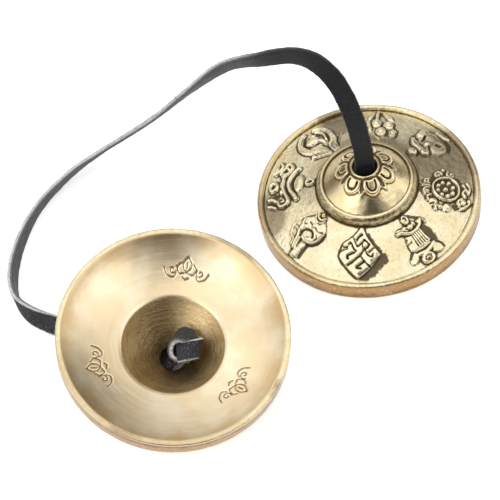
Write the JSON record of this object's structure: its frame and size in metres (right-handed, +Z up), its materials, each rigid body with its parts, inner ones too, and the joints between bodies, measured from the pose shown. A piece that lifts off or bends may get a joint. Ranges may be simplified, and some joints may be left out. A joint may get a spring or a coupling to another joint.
{
  "type": "tingsha hand cymbals",
  "caption": "Small thick cast cymbals joined by a flat leather lace that is knotted in each cup; struck rim to rim they give a clear, long ringing tone.",
  "frame": {"origin": "on the table, under the middle of the box around the two cymbals as they lie", "axes": "+Z up from the table; +X from the cymbal that lies hollow up towards the one that lies rim down; -Y towards the viewer of the picture"},
  "size_m": [0.14, 0.1121, 0.0547],
  "materials": {
    "bronze_hollow_up": "satin turned bronze",
    "bronze_boss_up": "cast relief, brushed, dark in its recesses",
    "leather_lace": "smooth black grain side, dark grey fuzzy flesh side, light cut edges",
    "leather_knot": "black leather with light fuzzy cut edges"
  },
  "bodies": {
    "cymbal_left": {"cymbal_left": "bronze_hollow_up"},
    "knot_left": {"knot_left": "leather_knot"},
    "lace": {"strap": "leather_lace", "strap_under_left": "leather_lace"},
    "knot_right": {"knot_right": "leather_knot"},
    "cymbal_right": {"cymbal_right": "bronze_boss_up"}
  },
  "joints": [
    {"name": "left_swivel", "type": "hinge", "parent": "cymbal_left", "child": "knot_left", "pos_m": [-0.03361, -0.01826, 0.00082], "axis": [0.1282, -0.1701, 0.977], "continuous": true},
    {"name": "left_tilt", "type": "hinge", "parent": "knot_left", "child": "lace", "pos_m": [-0.03361, -0.01826, 0.00082], "axis": [-0.5344, -0.8453, 0], "range_deg": [0, 150]},
    {"name": "right_tilt", "type": "hinge", "parent": "lace", "child": "knot_right", "pos_m": [0.03136, 0.02115, 0.02025], "axis": [1, 0, 0], "range_deg": [-75, 75]},
    {"name": "right_swivel", "type": "hinge", "parent": "knot_right", "child": "cymbal_right", "pos_m": [0.03136, 0.02115, 0.02025], "axis": [0, 0, 1], "continuous": true}
  ]
}
